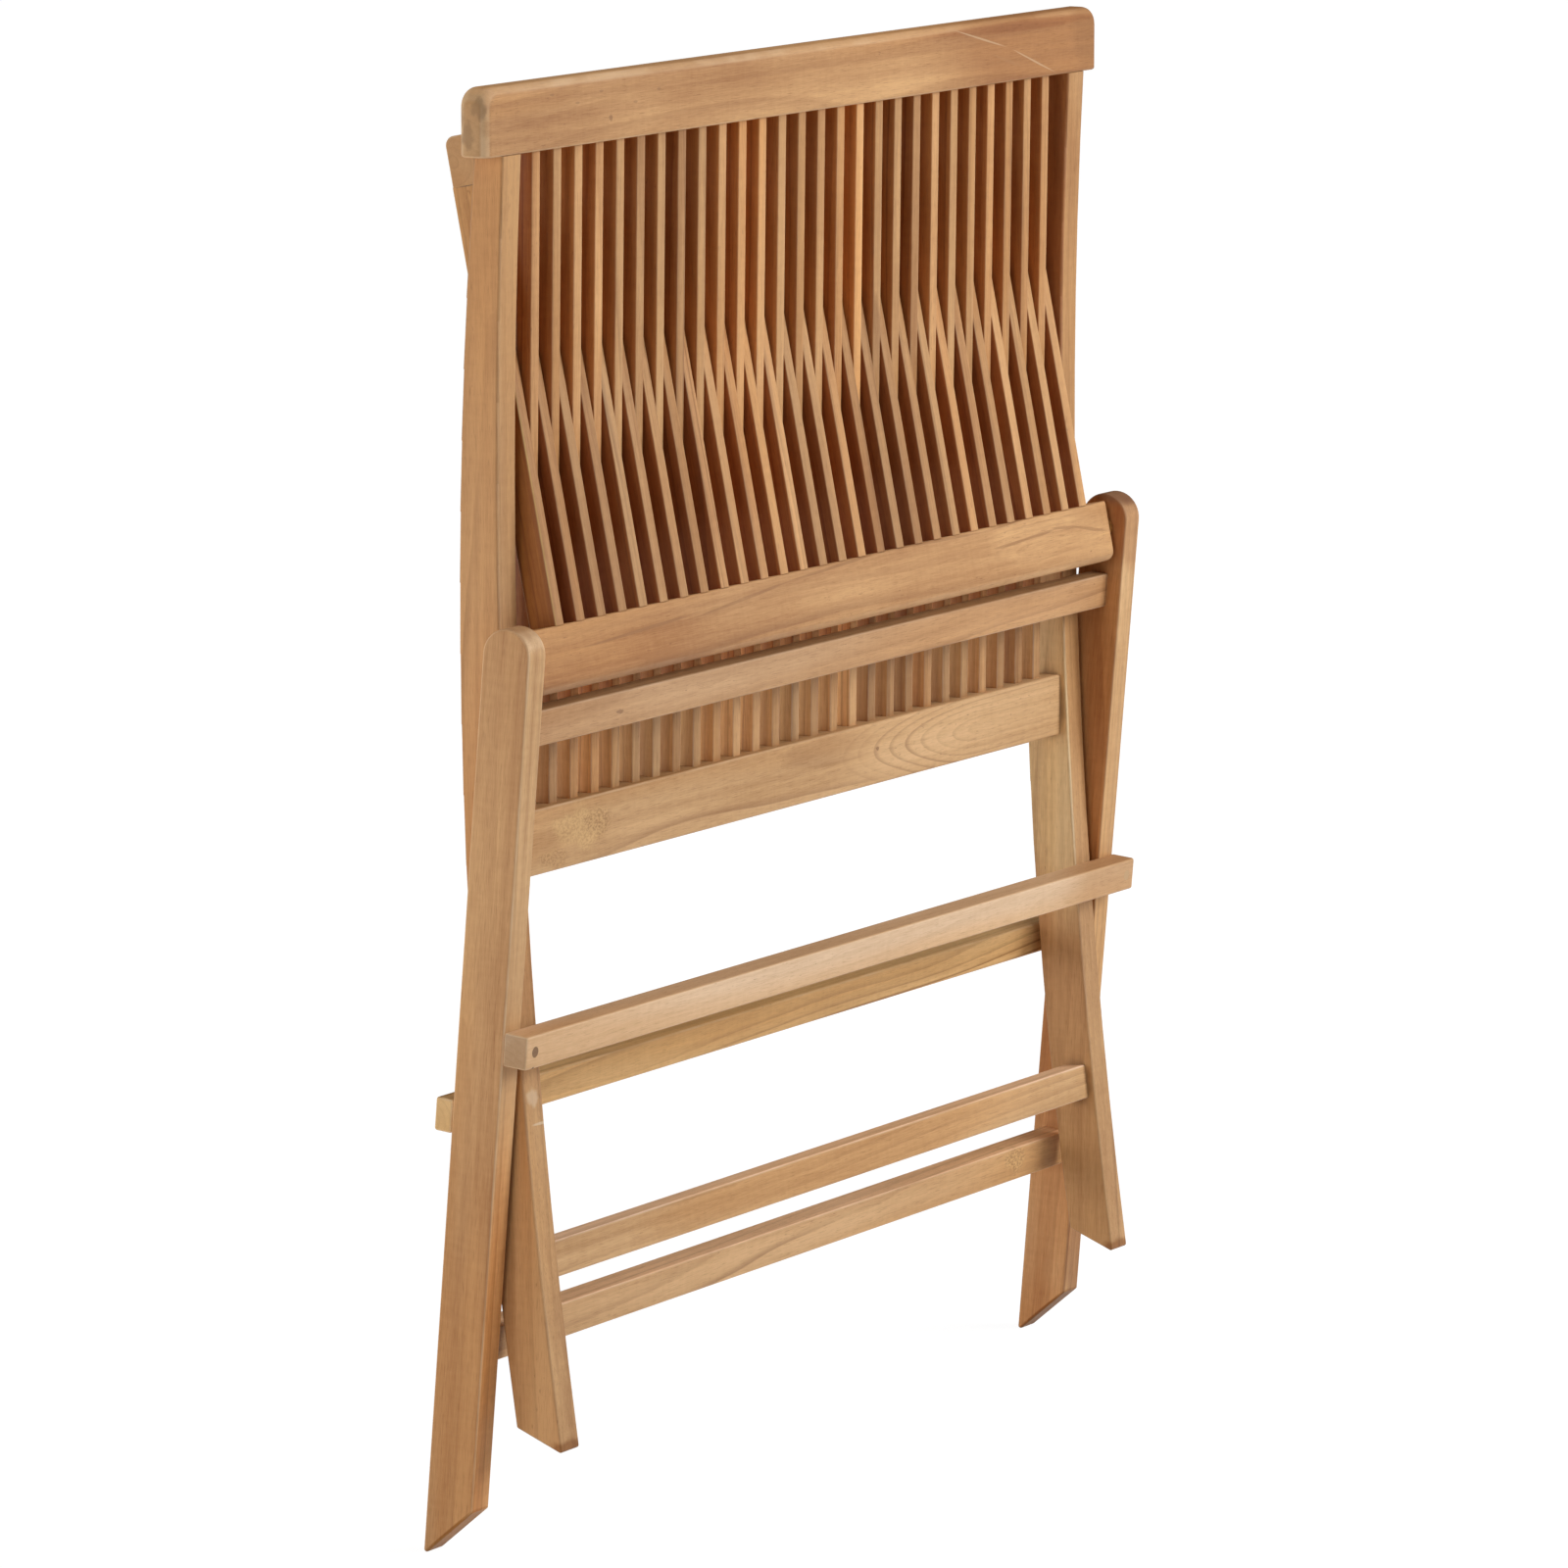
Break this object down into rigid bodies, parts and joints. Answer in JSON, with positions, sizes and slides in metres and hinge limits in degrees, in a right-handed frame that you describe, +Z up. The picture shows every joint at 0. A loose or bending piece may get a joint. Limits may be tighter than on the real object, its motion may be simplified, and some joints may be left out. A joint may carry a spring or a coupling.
{
  "type": "folding slatted love seat",
  "caption": "Folding slatted teak garden love seat, stored folded: slatted back on front legs, crossed rear legs with stop bars, and a slatted seat that passes through the back.",
  "frame": {"origin": "on the floor under the middle of the folded seat: centre of the bounding box, at the tips of the rear feet", "axes": "+X across the seat to the viewer's right, -Y the front where a person sits, +Z up along the back"},
  "size_m": [0.868, 0.1148, 1.0525],
  "materials": {
    "teak_frame": "fine sanded, satin",
    "teak_slats": "fine sanded, satin",
    "teak_plugs": "fine sanded, satin",
    "dowel_wood": "plain",
    "steel": "turned",
    "washer_brass": "stamped"
  },
  "bodies": {
    "back_frame": {"stile_left": "teak_frame", "stile_right": "teak_frame", "top_rail": "teak_frame", "lower_back_rail": "teak_frame", "front_stretcher": "teak_frame", "back_slats_01": "teak_slats", "back_slats_02": "teak_slats", "back_slats_03": "teak_slats", "back_slats_04": "teak_slats", "back_slats_05": "teak_slats", "back_slats_06": "teak_slats", "back_slats_07": "teak_slats", "back_slats_08": "teak_slats", "back_slats_09": "teak_slats", "back_frame_dowels": "dowel_wood", "top_rail_dowels": "dowel_wood", "leg_pivot_pins": "steel", "leg_pivot_washers": "washer_brass"},
    "rear_legs": {"rear_leg_left": "teak_frame", "rear_leg_right": "teak_frame", "upper_stretcher": "teak_frame", "rear_stretcher": "teak_frame", "front_stop_bar": "teak_frame", "rear_stop_bar": "teak_frame", "leg_frame_dowels": "dowel_wood", "stop_bar_screws": "steel", "stop_bar_plugs": "teak_plugs"},
    "seat": {"seat_front_rail": "teak_frame", "seat_rear_rail": "teak_frame", "seat_side_left": "teak_slats", "seat_side_right": "teak_slats", "seat_slats_01": "teak_slats", "seat_slats_02": "teak_slats", "seat_slats_03": "teak_slats", "seat_slats_04": "teak_slats", "seat_slats_05": "teak_slats", "seat_slats_06": "teak_slats", "seat_slats_07": "teak_slats", "seat_slats_08": "teak_slats", "seat_slats_09": "teak_slats", "seat_slats_10": "teak_slats", "seat_slats_11": "teak_slats", "seat_slats_12": "teak_slats", "seat_slats_13": "teak_slats", "seat_pivot_pins": "steel", "seat_pivot_washers": "washer_brass"}
  },
  "joints": [
    {"name": "leg_hinge", "type": "hinge", "parent": "back_frame", "child": "rear_legs", "pos_m": [0, -0.0071, 0.34901], "axis": [1, 0, 0], "range_deg": [0, 61.6]},
    {"name": "seat_hinge", "type": "hinge", "parent": "rear_legs", "child": "seat", "pos_m": [0, -0.0297, 0.64867], "axis": [1, 0, 0], "range_deg": [-124.3, 0]}
  ],
  "couplings": [
    {"joint": "seat_hinge", "follows": "leg_hinge", "ratio": -2.0176}
  ]
}
